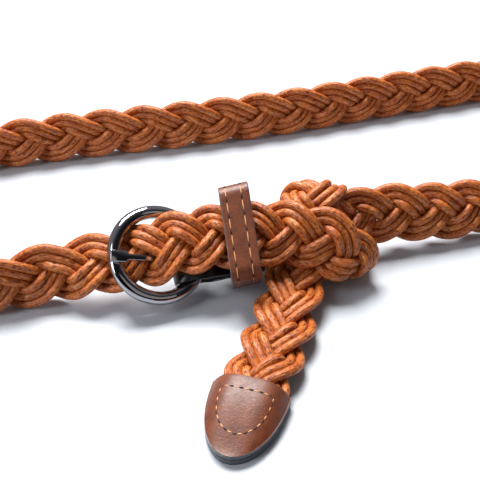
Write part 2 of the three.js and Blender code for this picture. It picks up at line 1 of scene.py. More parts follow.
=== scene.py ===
# Braided cord belt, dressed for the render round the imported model. Shapes are worked out in
# millimetres in the frame that the belt is drawn in, where the ring's middle is over the origin,
# the front strap runs along X, +Y is the back and Z is up.
import math

import bmesh
import bpy
import numpy as np
from mathutils import Matrix, Vector


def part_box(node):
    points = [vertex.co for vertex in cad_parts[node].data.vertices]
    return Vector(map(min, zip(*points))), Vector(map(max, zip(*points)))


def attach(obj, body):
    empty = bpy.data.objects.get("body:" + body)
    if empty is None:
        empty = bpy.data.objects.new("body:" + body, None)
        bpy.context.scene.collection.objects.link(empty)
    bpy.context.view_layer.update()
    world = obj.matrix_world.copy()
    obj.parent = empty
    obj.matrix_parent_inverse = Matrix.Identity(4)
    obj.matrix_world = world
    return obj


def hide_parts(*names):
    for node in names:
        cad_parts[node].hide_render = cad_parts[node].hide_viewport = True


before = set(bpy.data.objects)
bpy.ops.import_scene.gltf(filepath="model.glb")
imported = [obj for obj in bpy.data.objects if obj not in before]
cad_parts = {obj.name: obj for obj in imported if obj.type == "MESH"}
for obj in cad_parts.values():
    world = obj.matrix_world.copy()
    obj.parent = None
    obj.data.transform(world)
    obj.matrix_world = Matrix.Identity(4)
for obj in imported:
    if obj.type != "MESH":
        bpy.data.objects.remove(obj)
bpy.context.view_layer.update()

MM = 0.001
TURN = 2 * math.pi

# Cords and braid
cord_size = 2.9
cord_radius = cord_size / 2
braid_width = 20.5
swing = 5.0
long_lay = 50
short_lay = 36
cords_per_strand = 3
strand_count = 3
steps_per_lay = 24
first_step = 2

# Loop of the strap
side_length = 300
loop_depth = 87
side_start = -60
stand_height = braid_width / 2

# Ring, prong and leather
front_lean = math.radians(50)
strap_lean = math.radians(24)
ring_size = 34
wire_size = 4.6
ring_turn = math.radians(10)
fit_gap = 0.3
leather = 1.6
ring_radius = (ring_size - wire_size) / 2
ring_along = 1.2
ring_height = 15.7
ring_middle = np.array([ring_along, 0, ring_height])

# The ring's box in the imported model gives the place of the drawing's origin.
ring_low, ring_high = (np.array(corner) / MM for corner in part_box("buckle_ring"))
drawing_origin = (ring_low + ring_high) / 2 - ring_middle


def in_metres(points):
    """Points of the drawing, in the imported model's frame and in metres."""
    return (np.asarray(points, float) + drawing_origin) * MM


def leaned(along, back, up):
    """A point given along the strap, back from the ring's plane and up that plane."""
    lean_cos, lean_sin = math.cos(front_lean), math.sin(front_lean)
    y, z = back * lean_cos + up * lean_sin, up * lean_cos - back * lean_sin
    return (ring_along + along, y, ring_height + z)


# Camera


def make_camera():
    """The photograph's view: from the front, a little to the left, and well above the belt."""
    turned = math.radians(18)
    raised = math.radians(38)
    distance = 268
    target = Vector(in_metres((28.7, -3.7, 18)))
    across = math.cos(raised)
    forward = Vector((math.sin(turned) * across, math.cos(turned) * across, -math.sin(raised)))
    data = bpy.data.cameras.new("camera")
    data.lens = 60
    data.sensor_width = 36
    data.clip_start = 10 * MM
    data.clip_end = 10
    camera = bpy.data.objects.new("camera", data)
    camera.location = target - forward * distance * MM
    camera.rotation_euler = forward.to_track_quat("-Z", "Y").to_euler()
    bpy.context.collection.objects.link(camera)
    bpy.context.scene.camera = camera


# Braid


def contact(offset, near):
    """How far each point of a pair moves off the other where their cords touch, and which pairs do."""
    distance = np.maximum(np.linalg.norm(offset, axis=-1), 0.01)
    near = near & (distance < cord_size)
    share = np.where(near, (cord_size - distance) / distance, 0)
    return offset * share[..., None], near


def ease(cord, laid, lay, pull, stiffness=0.25):
    """Pulls a cord a little to where it was laid and evens out its bends. A cord of one lay goes on
    into its next copy, and an open cord, with no lay, keeps its two end points."""
    cord += pull * (laid - cord)
    if lay is None:
        before, after = np.vstack([cord[:1], cord[:-1]]), np.vstack([cord[1:], cord[-1:]])
    else:
        before, after = np.roll(cord, 1, axis=0), np.roll(cord, -1, axis=0)
        before[0, 1] -= lay
        after[-1, 1] += lay
    bend = (before + after) / 2 - cord
    change = stiffness * ((np.roll(bend, 1, axis=0) + np.roll(bend, -1, axis=0)) / 2 - bend)
    if lay is None:
        change[:2] = 0
        change[-2:] = 0
    cord -= change


def braid_cell(lay):
    """The resting shape over one lay of a strand's three cords, as x, y from their step, z."""
    turn = TURN / lay
    lift = 1.1 * cord_size
    rounds = 260
    steepest = math.atan(swing * turn)
    lag = turn * math.cos(steepest) / math.tan(2 * steepest)
    angle = TURN * np.arange(steps_per_lay) / steps_per_lay
    slope = np.arctan(swing * turn * np.cos(angle))
    laid = []
    for place in range(cords_per_strand):
        side = (place - 1) * cord_size
        late = angle + lag * side * np.cos(angle)
        rise = lift * (np.sin(2 * late) + 0.3 * np.sin(4 * late))
        across = swing * np.sin(angle) + side * np.cos(slope)
        laid.append(np.stack([across, angle / turn - side * np.sin(slope), rise], axis=1))
    laid = np.array(laid)
    cell = laid.copy()
    owner = np.repeat(np.arange(cords_per_strand), steps_per_lay)
    shifts = np.arange(-4, 5)
    ahead = np.zeros((len(shifts), 3))
    ahead[:, 1] = shifts * lay / strand_count
    same = owner[:, None, None] == owner[None, :, None]
    allowed = ~(same & (shifts % strand_count == 0)[None, None, :])
    for _ in range(rounds):
        for cord, start in zip(cell, laid):
            ease(cord, start, lay, pull=0.01)
        points = cell.reshape(-1, 3)
        offset = points[:, None, None] - points[None, :, None] - ahead[None, None]
        moves, near = contact(offset, allowed)
        count = np.maximum(near.sum(axis=(1, 2)), 1)
        cell = (points + moves.sum(axis=(1, 2)) * 0.5 / count[:, None]).reshape(cell.shape)
    cell[..., 1] -= lay * np.arange(steps_per_lay) / steps_per_lay
    return cell


# Route of the belt, from the tab round the loop to the tip

# Each row is a station: where the middle of the braid is, the direction of its width, its lay, and
# its width and thickness against the plain braid's. Lengths near the knot and along the free end
# are shares of the braid's width.
leaning = (0, math.sin(front_lean), math.cos(front_lean))
rising = (0, math.sin(strap_lean), math.cos(strap_lean))
standing = (0, 0.12, 1)
upright = (0, 0, 1)

knot_end = [
    (1.9, 0.082, 0.631, *leaning, 40, 0.86, 0.66),
    (2.25, 0.12, 0.67, 0, 0.6, 0.8, 42, 0.86, 0.76),
    (2.68, 0.06, 0.72, *rising, 42, 0.84, 0.84),
    (3.3, 0.02, 0.72, *rising, 43, 0.92, 0.94),
    (4.05, 0.0, 0.7, *rising, 43, 1, 1),
    (4.9, -0.11, 0.62, *rising, 43, 1, 1),
    (5.65, -0.16, 0.56, *rising, 43, 1, 1),
]

free_end = [
    (-1.27, 0.26, 0.63, *leaning, 48, 1, 1),
    (-0.73, 0.19, 0.66, *leaning, 46, 1, 1),
    (0, -0.01, 0.9, *leaning, 40, 1, 1),
    (0.68, -0.16, 1.05, *leaning, 38, 1, 1),
    (1.22, -0.2, 1.03, *leaning, 38, 1, 1),
    (1.8, -0.3, 1.02, *leaning, 38, 1, 1),
    (2.42, -0.55, 1.0, 0.1, 0.39, 0.92, 38, 1.04, 0.94),
    (2.88, -0.76, 0.83, 0.55, 0.3, 0.77, 38, 1, 0.9),
    (3.1, -0.9, 0.48, 0.96, 0.1, 0.2, 38, 0.96, 0.84),
    (3.14, -0.64, 0.21, 1, 0, 0, 38, 0.92, 0.8),
    (2.98, -0.12, 0.2, 1, 0, 0, 38, 0.92, 0.78),
    (2.92, 0.34, 0.44, 1, 0, 0, 38, 0.94, 0.8),
    (2.86, 0.5, 0.86, 1, 0, 0, 38, 0.98, 0.84),
    (2.88, 0.3, 1.26, 1, 0, 0, 38, 1.1, 0.92),
    (2.7, -0.1, 1.23, 1, 0, 0, 38, 1.04, 0.86),
    (2.48, -0.32, 0.8, 1, 0, 0, 42, 0.88, 0.78),
    (2.23, -0.68, 0.38, 0.94, -0.3, 0.1, 46, 0.9, 0.86),
    (1.82, -1.3, 0.25, 0.83, -0.55, 0, 45, 1.04, 0.98),
    (1.39, -1.97, 0.235, 0.82, -0.57, 0, 44, 1.1, 0.96),
    (0.93, -2.5, 0.23, 0.82, -0.57, 0, 42, 1.0, 0.8),
    (0.62, -2.87, 0.235, 0.82, -0.57, 0, 40, 0.78, 0.54),
]


def loop_rows():
    """The plain loop between the knot and the free end, by the sizes of the strap."""
    side_end = side_start + side_length
    sway = 0.11 * loop_depth
    front_place = 0.09 * loop_depth
    bend_steps = 6
    rows = []

    def along(share):
        return side_start + share * side_length

    rows.append((along(0.8), -0.03 * loop_depth, stand_height, *upright, 46, 1, 1))
    for i in range(bend_steps + 1):
        angle = math.pi * i / bend_steps
        x = side_end + loop_depth / 2 * math.sin(angle)
        y = loop_depth / 2 * (1 - math.cos(angle))
        rows.append((x, y, stand_height, *upright, 48, 1, 1))
    for share, swayed in ((0.87, 0), (0.73, 0), (0.59, 0), (0.45, 0), (0.3, 0.35), (0.15, 0.85)):
        y = loop_depth + swayed * sway
        rows.append((along(share), y, stand_height, *standing, 50, 1, 1))
    left_radius = (loop_depth + sway - front_place) / 2
    for i in range(bend_steps + 1):
        angle = math.pi * i / bend_steps
        x = side_start - left_radius * math.sin(angle)
        y = front_place + left_radius * (1 + math.cos(angle))
        rows.append((x, y, stand_height, *upright, 48, 1, 1))
    rows.append((along(0.085), 0.95 * front_place, 1.05 * stand_height, *rising, 48, 1, 1))
    return rows


def in_widths(rows):
    return [tuple(value * braid_width for value in row[:3]) + row[3:] for row in rows]


def smooth_through(rows, at):
    """A smooth curve through the rows, with its direction, at places counted in rows."""
    first, last = 2 * rows[0] - rows[1], 2 * rows[-1] - rows[-2]
    wide = np.vstack([first, rows, last])
    row = np.minimum(at.astype(int), len(rows) - 2)
    t = (at - row)[:, None]
    before, start, end, after = (wide[row + k] for k in range(4))
    leave, arrive = (end - before) / 2, (after - start) / 2
    square = 3 * (end - start) - 2 * leave - arrive
    cube = 2 * (start - end) + leave + arrive
    place = start + t * (leave + t * (square + t * cube))
    heading = leave + t * (2 * square + 3 * t * cube)
    return place, heading


def unit(vectors):
    return vectors / np.linalg.norm(vectors, axis=-1, keepdims=True)


def lay_route():
    """The whole route as even samples."""
    rows = np.array(in_widths(knot_end) + loop_rows() + in_widths(free_end), float)
    samples_per_row = 24
    at = np.arange((len(rows) - 1) * samples_per_row + 1) / samples_per_row
    values, headings = smooth_through(rows, at)
    place, side, form = values[:, :3], values[:, 3:6], values[:, 6:]
    tangent = unit(headings[:, :3])
    side = unit(side - (side * tangent).sum(axis=1, keepdims=True) * tangent)
    through = np.cross(side, tangent)
    step = np.linalg.norm(np.diff(place, axis=0), axis=1)
    lay = (form[1:, 0] + form[:-1, 0]) / 2
    length = np.concatenate([[0], np.cumsum(step)])
    turns = np.concatenate([[0], np.cumsum(step / lay)])
    route = {"place": place, "side": side, "through": through, "form": form}
    return route | {"length": length, "turns": turns}


def read_route(route, field, values, wanted):
    """Reads the columns of a wanted field of the route at values of a growing one."""
    columns = route[wanted]
    read = [np.interp(values, route[field], columns[:, k]) for k in range(columns.shape[1])]
    return np.stack(read, axis=1)


def lay_cords(route):
    """Lays the nine cords along the route, strand by strand."""
    long_cell, short_cell = braid_cell(long_lay), braid_cell(short_lay)
    steps = int(route["turns"][-1] * steps_per_lay)
    index = np.arange(steps + 1)
    turns = index / steps_per_lay
    lay = read_route(route, "turns", turns, "form")[:, :1]
    length = np.interp(turns, route["turns"], route["length"])
    share = (lay - short_lay) / (long_lay - short_lay)
    cords = []
    for strand in range(strand_count):
        step = (index + first_step + strand * steps_per_lay // strand_count) % steps_per_lay
        for place in range(cords_per_strand):
            local = short_cell[place][step] * (1 - share) + long_cell[place][step] * share
            there = np.clip(length + local[:, 1], 0, route["length"][-1])
            form = read_route(route, "length", there, "form")
            side = unit(read_route(route, "length", there, "side"))
            through = unit(read_route(route, "length", there, "through"))
            point = read_route(route, "length", there, "place")
            point = point + side * local[:, :1] * form[:, 1:2] + through * local[:, 2:] * form[:, 2:]
            point[:, 2] = np.maximum(point[:, 2], cord_radius)
            cords.append(point)
    return cords


# What stops the cords: the floor, the ring, the prong and the tip

tip_length = 24.6
tip_width = 23.8
tip_base = 1.8
tip_rise = 5.5
tip_mouth = (15.6, -55.2)
tip_heading = (-0.57, -0.82)


def tip_half_width(share):
    return tip_width / 2 * np.sqrt(np.maximum(1 - share**2.2, 0.01))


def tip_dome(share, side):
    """How far the tip's upper layer is raised, from its mouth (share 0) to its point, and from its
    middle (side 0) to its edges."""
    across = np.maximum(0, 1 - np.abs(side / 0.94) ** 4)
    return across * np.maximum(0, 1 - share**2) ** 1.5


wire_back = ring_radius * math.sin(ring_turn)
wire_along = ring_radius * math.cos(ring_turn)
prong_thick = 1.8
prong_level = -1.7
prong_slope = math.radians(11)
prong_back = wire_size / 2 + fit_gap + 0.1 + prong_thick / 2
prong_root = (wire_along - prong_back, wire_back)
prong_tip = (-wire_along - 1.6, -wire_back - prong_back - 0.8)


def prong_place(along, back, level):
    """A point of the prong, which slopes down from its tip to its eye in the ring's plane."""
    slope_cos, slope_sin = math.cos(prong_slope), math.sin(prong_slope)
    return leaned(along * slope_cos + level * slope_sin, back, level * slope_cos - along * slope_sin)


def move_clear(points, nearest, radius):
    away = points - nearest
    distance = np.maximum(np.linalg.norm(away, axis=1, keepdims=True), 0.01)
    short = np.maximum(radius + fit_gap + cord_radius - distance, 0)
    return points + away * short / distance


def keep_out(points):
    """Moves the points out of the floor, the leather of the tip, the ring and the prong."""
    points[:, 2] = np.maximum(points[:, 2], cord_radius)
    x, y = points[:, 0] - tip_mouth[0], points[:, 1] - tip_mouth[1]
    along = x * tip_heading[0] + y * tip_heading[1]
    side = -x * tip_heading[1] + y * tip_heading[0]
    share = np.clip(along / tip_length, 0, 1)
    lowest = tip_base + fit_gap + cord_radius
    dome = tip_rise * tip_dome(share, side / tip_half_width(share))
    highest = tip_base + dome - cord_radius - fit_gap
    held = np.maximum(np.minimum(points[:, 2], highest), lowest)
    points[:, 2] = np.where(along > -3, held, points[:, 2])
    across = np.array(leaned(math.cos(ring_turn), math.sin(ring_turn), 0)) - ring_middle
    up = np.array(leaning)
    a, b = (points - ring_middle) @ across, (points - ring_middle) @ up
    far = np.maximum(np.hypot(a, b), 0.01)
    nearest = ring_middle + ring_radius * (a[:, None] * across + b[:, None] * up) / far[:, None]
    points = move_clear(points, nearest, wire_size / 2)
    start = np.array(prong_place(*prong_tip, prong_level))
    shaft = np.array(prong_place(*prong_root, prong_level)) - start
    reached = np.clip((points - start) @ shaft / (shaft @ shaft), 0, 1)
    return move_clear(points, start + reached[:, None] * shaft, prong_thick / 2)


def near_pairs(points, owner):
    """The pairs of points near enough to touch during the next rounds."""
    reach = 1.5 * cord_size
    next_points = 5
    square = (points**2).sum(axis=1)
    apart = square[:, None] + square[None] - 2 * points @ points.T
    first, second = np.nonzero(np.triu(apart < reach**2, 1))
    kept = (owner[first] != owner[second]) | (second - first > next_points)
    return first[kept], second[kept]


def settle(cords):
    """Lets the cords of the knot and of the free end settle against each other and what stops them."""
    rounds = 160
    pair_rounds = 12
    knot_reach = 4.2 * braid_width
    free_start = -1.6 * braid_width
    lead = cords[0]
    half = len(lead) // 2
    knot_last = int(np.argmax(lead[:, 0] > knot_reach))
    in_front = (lead[:, 0] > free_start) & (lead[:, 1] < braid_width)
    free_first = half + 1 + int(np.argmax(in_front[half + 1 :]))
    runs = []
    for cord in cords:
        runs += [cord[:knot_last], cord[free_first:]]
    ends = np.cumsum([len(run) for run in runs])[:-1]
    owner = np.repeat(np.arange(len(runs)), [len(run) for run in runs])
    laid = [run.copy() for run in runs]
    points = np.vstack(runs)
    for turn in range(rounds):
        if turn % pair_rounds == 0:
            first, second = near_pairs(points, owner)
        for run, start in zip(np.split(points, ends), laid):
            ease(run, start, None, pull=0.015, stiffness=0.45)
        moves, near = contact(points[first] - points[second], np.ones(len(first), bool))
        total = np.zeros_like(points)
        count = np.zeros(len(points))
        for index, sign in ((first, 1), (second, -1)):
            np.add.at(total, index, sign * moves)
            np.add.at(count, index, near)
        points = keep_out(points + total * 0.5 / np.maximum(count, 1)[:, None])
    for run, settled in zip(runs, np.split(points, ends)):
        run[:] = settled


# Materials


def linear(hex_colour):
    """An sRGB hex colour as linear red, green, blue and alpha."""
    values = [int(hex_colour[i : i + 2], 16) / 255 for i in (1, 3, 5)]
    return tuple(v / 12.92 if v <= 0.04045 else ((v + 0.055) / 1.055) ** 2.4 for v in values) + (1,)


def add_node(tree, kind, links=None, **settings):
    """Adds a node with its settings. Each link is a socket's name or number with a value or an
    output."""
    made = tree.nodes.new("ShaderNode" + kind)
    for name, value in settings.items():
        setattr(made, name, value)
    for socket, value in (links or {}).items():
        if isinstance(value, bpy.types.NodeSocket):
            tree.links.new(value, made.inputs[socket])
        else:
            made.inputs[socket].default_value = value
    return made


def new_material(name, **values):
    """A material with one Principled shader, set on the shader's own sockets."""
    material = bpy.data.materials.new(name)
    material.use_nodes = True
    shader = material.node_tree.nodes["Principled BSDF"]
    for socket, value in values.items():
        shader.inputs[socket.replace("_", " ")].default_value = value
    return material, material.node_tree, shader


def set_stops(ramp, stops):
    """Gives a colour ramp its stops, each a place with a hex colour."""
    elements = ramp.color_ramp.elements
    while len(elements) < len(stops):
        elements.new(0.5)
    for element, (place, colour) in zip(elements, stops):
        element.position = place
        element.color = linear(colour)


def waxed_cotton():
    """Waxed cotton cord with a plaited sheath of six carriers: faint picks of 1.7 mm, dark flecks about
    half a millimetre wide and twice as long, and pale streaks that are painted highlights of the waxy
    surface. The pattern lies in the straight cord's own space, in millimetres."""
    material, tree, shader = new_material("waxed_cotton_cord", IOR=1.5)
    lay = add_node(tree, "Attribute", attribute_name="cord_lay").outputs["Vector"]
    split = add_node(tree, "SeparateXYZ", {0: lay})
    angle = add_node(tree, "Math", {0: split.outputs["Y"], 1: split.outputs["X"]}, operation="ARCTAN2")
    sway = add_node(tree, "TexNoise", {"Vector": lay, "Scale": 0.7, "Detail": 2.0}).outputs["Fac"]
    carriers = 6
    pick = 1.7
    unevenness = 3.0
    turned = add_node(
        tree, "Math", {0: angle.outputs[0], 1: carriers, 2: sway}, operation="MULTIPLY_ADD"
    )
    bent = add_node(
        tree, "Math", {0: sway, 1: unevenness, 2: split.outputs["Z"]}, operation="MULTIPLY_ADD"
    )
    ahead = add_node(tree, "Math", {0: bent.outputs[0], 1: math.pi / pick}, operation="MULTIPLY")
    waves = []
    for operation in ("ADD", "SUBTRACT"):
        phase = add_node(tree, "Math", {0: turned.outputs[0], 1: ahead.outputs[0]}, operation=operation)
        waves.append(add_node(tree, "Math", {0: phase.outputs[0]}, operation="SINE").outputs[0])
    plait = add_node(tree, "Math", {0: waves[0], 1: waves[1]}, operation="MULTIPLY").outputs[0]
    fibre_vector = add_node(tree, "Mapping", {0: lay, "Scale": (1.9, 1.9, 0.85)}).outputs[0]
    fibre_noise = add_node(tree, "TexNoise", {"Vector": fibre_vector, "Scale": 1.0, "Detail": 4.0})
    fibre = fibre_noise.outputs["Fac"]
    # Stretched noise for the pale streaks along the cord, which are painted highlights of the waxy
    # surface.
    glint_vector = add_node(tree, "Mapping", {0: lay, "Scale": (2.6, 2.6, 0.45)}).outputs[0]
    glint_noise = add_node(tree, "TexNoise", {"Vector": glint_vector, "Scale": 1.0, "Detail": 2.0}).outputs["Fac"]
    patch = add_node(tree, "TexNoise", {"Vector": lay, "Scale": 0.16, "Detail": 2.0}).outputs["Fac"]
    base = add_node(tree, "ValToRGB", {0: patch})
    set_stops(base, [(0.3, "#b95c1e"), (0.7, "#d17a30")])
    plait_share = 0.07
    woven = add_node(tree, "Math", {0: plait, 1: plait_share, 2: fibre}, operation="MULTIPLY_ADD")
    mixed = woven.outputs[0]
    tone = add_node(tree, "ValToRGB", {0: mixed})
    set_stops(tone, [(0.3, "#7a4a28"), (0.42, "#c0a48c"), (0.5, "#e4dcd2"), (0.66, "#ffffff")])
    colour = add_node(
        tree,
        "Mix",
        {"Factor": 1.0, 6: base.outputs[0], 7: tone.outputs[0]},
        data_type="RGBA",
        blend_type="MULTIPLY",
    )
    # The pale streak colour is a painted highlight, mixed in where the stretched noise is high.
    highlight_streak = add_node(tree, "MapRange", {0: glint_noise, 1: 0.58, 2: 0.72, 3: 0.0, 4: 0.55})
    with_highlight_streaks = add_node(
        tree,
        "Mix",
        {"Factor": highlight_streak.outputs[0], 6: colour.outputs[2], 7: linear("#e9b27a")},
        data_type="RGBA",
    )
    tree.links.new(with_highlight_streaks.outputs[2], shader.inputs["Base Color"])
    rough = add_node(tree, "MapRange", {0: fibre, 1: 0.3, 2: 0.7, 3: 0.6, 4: 0.34})
    tree.links.new(rough.outputs[0], shader.inputs["Roughness"])
    bump = add_node(tree, "Bump", {"Height": mixed, "Distance": 0.35 * MM, "Strength": 0.8})
    tree.links.new(bump.outputs[0], shader.inputs["Normal"])
    return material


def gunmetal():
    """Zinc casting, polished and plated in dark nickel: a dark mirror, with very faint smears."""
    material, tree, shader = new_material("dark_nickel_plate", Metallic=1.0)
    shader.inputs["Base Color"].default_value = linear("#a3a2a6")
    spot = add_node(tree, "TexCoord").outputs["Object"]
    smear = add_node(tree, "TexNoise", {"Vector": spot, "Scale": 220.0, "Detail": 3.0}).outputs["Fac"]
    rough = add_node(tree, "MapRange", {0: smear, 1: 0.35, 2: 0.7, 3: 0.05, 4: 0.13})
    tree.links.new(rough.outputs[0], shader.inputs["Roughness"])
    return material


def leather_finish(name, dark, light, coat):
    """Aniline-dyed cow leather, lightly waxed: fine pebble grain of about half a millimetre, and soft
    clouds of colour."""
    material, tree, shader = new_material(name, IOR=1.45)
    shader.inputs["Coat Weight"].default_value = coat
    shader.inputs["Coat Roughness"].default_value = 0.35
    spot = add_node(tree, "TexCoord").outputs["Object"]
    grain_size = 0.55 * MM
    grain = add_node(tree, "TexVoronoi", {"Vector": spot, "Scale": 1 / grain_size}, feature="SMOOTH_F1")
    pores = add_node(tree, "TexNoise", {"Vector": spot, "Scale": 0.7 / grain_size, "Detail": 4.0})
    pore = pores.outputs["Fac"]
    cloud = add_node(tree, "TexNoise", {"Vector": spot, "Scale": 260.0, "Detail": 4.0}).outputs["Fac"]
    base = add_node(tree, "ValToRGB", {0: cloud})
    set_stops(base, [(0.3, dark), (0.7, light)])
    tone = add_node(tree, "MapRange", {0: grain.outputs["Distance"], 1: 0.0, 2: 0.9, 3: 1.0, 4: 0.72})
    colour = add_node(
        tree,
        "Mix",
        {"Factor": 1.0, 6: base.outputs[0], 7: tone.outputs[0]},
        data_type="RGBA",
        blend_type="MULTIPLY",
    )
    tree.links.new(colour.outputs[2], shader.inputs["Base Color"])
    rough = add_node(tree, "MapRange", {0: pore, 1: 0.3, 2: 0.7, 3: 0.42, 4: 0.6})
    tree.links.new(rough.outputs[0], shader.inputs["Roughness"])
    height = add_node(
        tree, "Math", {0: grain.outputs["Distance"], 1: -0.7, 2: pore}, operation="MULTIPLY_ADD"
    )
    bump = add_node(tree, "Bump", {"Height": height.outputs[0], "Distance": 0.12 * MM, "Strength": 0.6})
    tree.links.new(bump.outputs[0], shader.inputs["Normal"])
    return material


def edge_paint(name, colour):
    """Acrylic edge paint on the cut edges of leather: glossy and a little uneven."""
    material, tree, shader = new_material(name, IOR=1.5)
    shader.inputs["Base Color"].default_value = linear(colour)
    shader.inputs["Roughness"].default_value = 0.28
    spot = add_node(tree, "TexCoord").outputs["Object"]
    wave = add_node(tree, "TexNoise", {"Vector": spot, "Scale": 420.0, "Detail": 2.0}).outputs["Fac"]
    bump = add_node(tree, "Bump", {"Height": wave, "Distance": 0.25 * MM, "Strength": 0.5})
    tree.links.new(bump.outputs[0], shader.inputs["Normal"])
    return material


def stitch_finish(name, colour, roughness):
    """Waxed polyester sewing thread, twisted, about half a millimetre thick; or, as a dark flat oval
    over each punched hole, painted shade for the hollow of the hole."""
    material, tree, shader = new_material(name, IOR=1.5)
    shader.inputs["Roughness"].default_value = roughness
    spot = add_node(tree, "TexCoord").outputs["Object"]
    twist = add_node(tree, "TexNoise", {"Vector": spot, "Scale": 3500.0, "Detail": 2.0}).outputs["Fac"]
    base = add_node(tree, "MapRange", {0: twist, 1: 0.3, 2: 0.7, 3: 0.75, 4: 1.1})
    tint = add_node(
        tree,
        "Mix",
        {"Factor": 1.0, 6: linear(colour), 7: base.outputs[0]},
        data_type="RGBA",
        blend_type="MULTIPLY",
    )
    tree.links.new(tint.outputs[2], shader.inputs["Base Color"])
    return material


# Pieces


def add_piece(name, mesh, materials, node=None):
    """Shows a finished mesh as a piece that rides on the belt and takes a node's place."""
    for material in materials:
        mesh.materials.append(material)
    mesh.shade_smooth()
    piece = bpy.data.objects.new(name, mesh)
    bpy.context.collection.objects.link(piece)
    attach(piece, "root")
    if node:
        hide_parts(node)
    return piece


def reshape(bm, place):
    """Moves every corner by a function of its place."""
    for vert in bm.verts:
        vert.co = place(*vert.co)


def to_mesh(bm, name):
    """Ends a bmesh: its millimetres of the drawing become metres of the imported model."""
    reshape(bm, lambda x, y, z: Vector(in_metres((x, y, z))))
    mesh = bpy.data.meshes.new(name)
    bm.to_mesh(mesh)
    bm.free()
    return mesh


def finer(cord):
    """A cord's points on a smooth curve, with one more between each two."""
    at = np.arange(2 * (len(cord) - 1) + 1) / 2
    return smooth_through(cord, at)[0]


def strand(number, cords, material):
    """One strand of the braid: three round cords side by side. They are a little thicker than they
    were laid, as cords that are pressed together. Each cord's pattern starts at a length of its own."""
    name = f"strand_{number}"
    pressed_radius = 1.03 * cord_radius
    resolution = 5
    sides = 2 * resolution + 4
    curve = bpy.data.curves.new(name, "CURVE")
    curve.dimensions = "3D"
    curve.bevel_depth = pressed_radius * MM
    curve.bevel_resolution = resolution
    for points in cords:
        spline = curve.splines.new("POLY")
        spline.points.add(len(points) - 1)
        placed = np.hstack([in_metres(points), np.ones((len(points), 1))])
        spline.points.foreach_set("co", placed.ravel())
    laid = bpy.data.objects.new(name + "_line", curve)
    mesh = bpy.data.meshes.new_from_object(laid)
    bpy.data.objects.remove(laid)
    lay = []
    between = 137
    for place, points in enumerate(cords):
        step = np.linalg.norm(np.diff(points, axis=0), axis=1)
        start = between * (cords_per_strand * number + place)
        length = start + np.concatenate([[0], np.cumsum(step)])
        angle = TURN * np.arange(sides) / sides
        rim = np.stack([np.cos(angle), np.sin(angle)], axis=1) * cord_radius
        rings = np.repeat(length, sides)
        lay.append(np.hstack([np.tile(rim, (len(points), 1)), rings[:, None]]))
    attribute = mesh.attributes.new("cord_lay", "FLOAT_VECTOR", "POINT")
    attribute.data.foreach_set("vector", np.vstack(lay).astype(np.float32).ravel())
    bm = bmesh.new()
    bm.from_mesh(mesh)
    bmesh.ops.holes_fill(bm, edges=bm.edges, sides=0)
    bm.to_mesh(mesh)
    bm.free()
    return add_piece(name, mesh, [material], f"braid_strand_{number + 1}")


def ring(material):
    """The ring: a round wire, turned a little and leaning back."""
    bm = bmesh.new()
    bmesh.ops.create_circle(bm, segments=28, radius=wire_size / 2)
    bmesh.ops.rotate(bm, verts=bm.verts, cent=(0, 0, 0), matrix=Matrix.Rotation(math.pi / 2, 3, "X"))
    bmesh.ops.translate(bm, verts=bm.verts, vec=(ring_radius, 0, 0))
    profile = bm.verts[:] + bm.edges[:]
    steps = 112
    bmesh.ops.spin(
        bm, geom=profile, cent=(0, 0, 0), axis=(0, 0, 1), angle=TURN, steps=steps, use_merge=True
    )
    cosine, sine = math.cos(ring_turn), math.sin(ring_turn)
    reshape(bm, lambda x, y, z: Vector(leaned(x * cosine + z * sine, x * sine - z * cosine, y)))
    bmesh.ops.recalc_face_normals(bm, faces=bm.faces)
    return add_piece("ring", to_mesh(bm, "ring"), [material], "buckle_ring")


def prong(material):
    """The prong: a flat shaft with a block at its end, and an eye round the ring."""
    shaft_height = 2
    block_height = 3.8
    block_length = 5.5
    slope_length = 1
    bm = bmesh.new()
    length = math.dist(prong_root, prong_tip)
    block_start = length - block_length
    stations = (
        (0, shaft_height),
        (block_start - slope_length, shaft_height),
        (block_start, block_height),
        (length, block_height),
    )
    bmesh.ops.create_grid(bm, x_segments=len(stations) - 1, y_segments=1, size=0.5)
    for vert in bm.verts:
        along, height = stations[round((vert.co.x + 0.5) * (len(stations) - 1))]
        vert.co = (along, 0, vert.co.y * height)
    extruded = bmesh.ops.extrude_face_region(bm, geom=bm.faces[:])
    verts = [part for part in extruded["geom"] if isinstance(part, bmesh.types.BMVert)]
    bmesh.ops.translate(bm, verts=verts, vec=(0, prong_thick, 0))
    bmesh.ops.translate(bm, verts=bm.verts, vec=(0, -prong_thick / 2, 0))
    bmesh.ops.recalc_face_normals(bm, faces=bm.faces)
    edges = [edge for edge in bm.edges if edge.calc_face_angle(0) > 0.3]
    bmesh.ops.bevel(
        bm,
        geom=edges,
        offset=0.4,
        offset_type="OFFSET",
        segments=3,
        profile=0.5,
        affect="EDGES",
        material=-1,
    )
    heading = math.atan2(prong_tip[1] - prong_root[1], prong_tip[0] - prong_root[0])
    bmesh.ops.rotate(bm, verts=bm.verts, cent=(0, 0, 0), matrix=Matrix.Rotation(heading, 3, "Z"))
    bmesh.ops.translate(bm, verts=bm.verts, vec=(*prong_root, prong_level))
    eye = bmesh.ops.create_circle(bm, segments=10, radius=prong_thick / 2)["verts"]
    bmesh.ops.rotate(bm, verts=eye, cent=(0, 0, 0), matrix=Matrix.Rotation(math.pi / 2, 3, "X"))
    bmesh.ops.translate(bm, verts=eye, vec=(wire_along + prong_back, wire_back, prong_level))
    around = eye + list({edge for vert in eye for edge in vert.link_edges})
    middle = (wire_along, wire_back, prong_level)
    bmesh.ops.spin(bm, geom=around, cent=middle, axis=(0, 0, 1), angle=TURN, steps=28, use_merge=True)
    bmesh.ops.recalc_face_normals(bm, faces=bm.faces)
    reshape(bm, lambda x, y, z: Vector(prong_place(x, y, z)))
    return add_piece("prong_bar", to_mesh(bm, "prong_bar"), [material], "prong")


